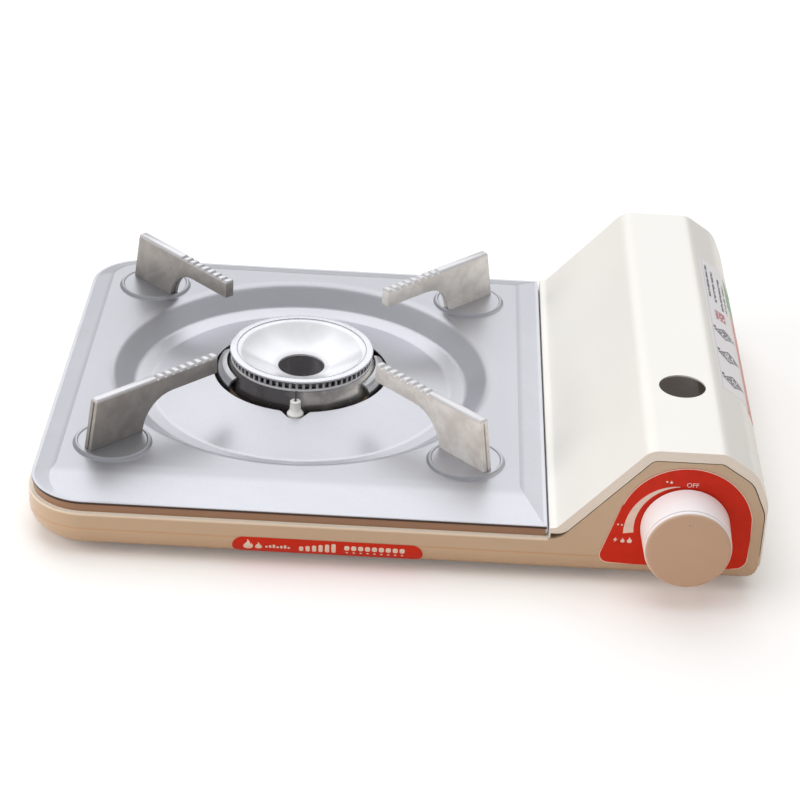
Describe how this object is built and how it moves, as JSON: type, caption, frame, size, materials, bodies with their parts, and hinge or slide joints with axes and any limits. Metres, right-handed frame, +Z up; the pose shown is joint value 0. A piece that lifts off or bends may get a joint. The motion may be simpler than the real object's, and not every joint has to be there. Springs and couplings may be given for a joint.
{
  "type": "butane cassette stove",
  "caption": "Portable cassette stove with a round burner in a basin under toothed pan supports, a lidded cartridge bay, and a control knob.",
  "frame": {"origin": "on the table, under the middle of the outer box", "axes": "+X right, +Y back, +Z up; the control knob is at the front right"},
  "size_m": [0.348, 0.283, 0.0745],
  "materials": {
    "case_paint": "satin cream enamel over pressed steel",
    "lid_paint": "satin off-white enamel over pressed steel",
    "plate_steel": "satin stainless sheet",
    "support_steel": "worn nickel-plated strip",
    "burner_steel": "dark glossy heat-stained enamel",
    "port_ring": "bright stainless",
    "cap_aluminium": "bright spun aluminium",
    "ceramic": null,
    "zinc_steel": "zinc-plated steel",
    "brass": "bright brass",
    "copper": null,
    "zinc_casting": null,
    "rubber_black": "matt black rubber",
    "knob_plastic": "satin cream plastic",
    "dark_plastic": "matt black plastic",
    "pale_plastic": "matt pale plastic",
    "red_print": "glossy red printed film",
    "white_print": "glossy white printed film"
  },
  "bodies": {
    "stove_case": {"lower_case": "case_paint", "rubber_feet": "rubber_black", "bay_partition": "zinc_steel", "cartridge_cradle": "zinc_steel", "control_decal": "red_print", "front_label": "red_print", "burner_bracket": "zinc_steel", "burner_body": "burner_steel", "burner_throat": "burner_steel", "flame_port_ring": "port_ring", "burner_cap": "cap_aluminium", "burner_screws": "zinc_steel", "mixing_tube": "zinc_steel", "air_shutter": "brass", "gas_jet": "brass", "gas_pipe": "copper", "pipe_nuts": "brass", "electrode_ceramic": "ceramic", "electrode_pin": "zinc_steel", "electrode_bracket": "zinc_steel", "ignition_lead": "pale_plastic", "valve_bracket": "zinc_steel", "bracket_screws": "zinc_steel", "valve_body": "zinc_casting", "regulator_body": "zinc_casting", "regulator_diaphragm": "rubber_black", "regulator_spring": "zinc_steel", "regulator_cover": "zinc_casting", "regulator_screws": "zinc_steel", "cartridge_socket": "brass", "socket_seal": "rubber_black", "magnet_holder": "dark_plastic", "socket_magnets": "zinc_steel", "collar_guide": "zinc_steel", "piezo_igniter": "dark_plastic", "lid_hinge_pins": "zinc_steel"},
    "bay_lid": {"lid": "lid_paint", "lid_label": "white_print"},
    "knob_shaft": {"control_knob": "knob_plastic", "valve_spindle": "zinc_steel", "ignition_cam": "pale_plastic"},
    "igniter_plunger": {"piezo_plunger": "pale_plastic"},
    "drip_plate": {"top_plate": "plate_steel", "support_front_left": "support_steel", "support_front_right": "support_steel", "support_rear_left": "support_steel", "support_rear_right": "support_steel", "support_washers": "zinc_steel"}
  },
  "joints": [
    {"name": "lid_hinge", "type": "hinge", "parent": "stove_case", "child": "bay_lid", "pos_m": [0.17, 0, 0.016], "axis": [0, 1, 0], "range_deg": [0, 100]},
    {"name": "knob_turn", "type": "hinge", "parent": "stove_case", "child": "knob_shaft", "pos_m": [0.1365, 0, 0.0347], "axis": [0, -1, 0], "range_deg": [0, 118]},
    {"name": "igniter_strike", "type": "slide", "parent": "stove_case", "child": "igniter_plunger", "axis": [-1, 0, 0], "range_m": [0, 0.005]},
    {"name": "plate_lift", "type": "slide", "parent": "stove_case", "child": "drip_plate", "axis": [0, 0, 1], "range_m": [0, 0.06]}
  ],
  "couplings": [
    {"joint": "igniter_strike", "follows": "knob_turn", "m_per_rad": 0.00242}
  ]
}
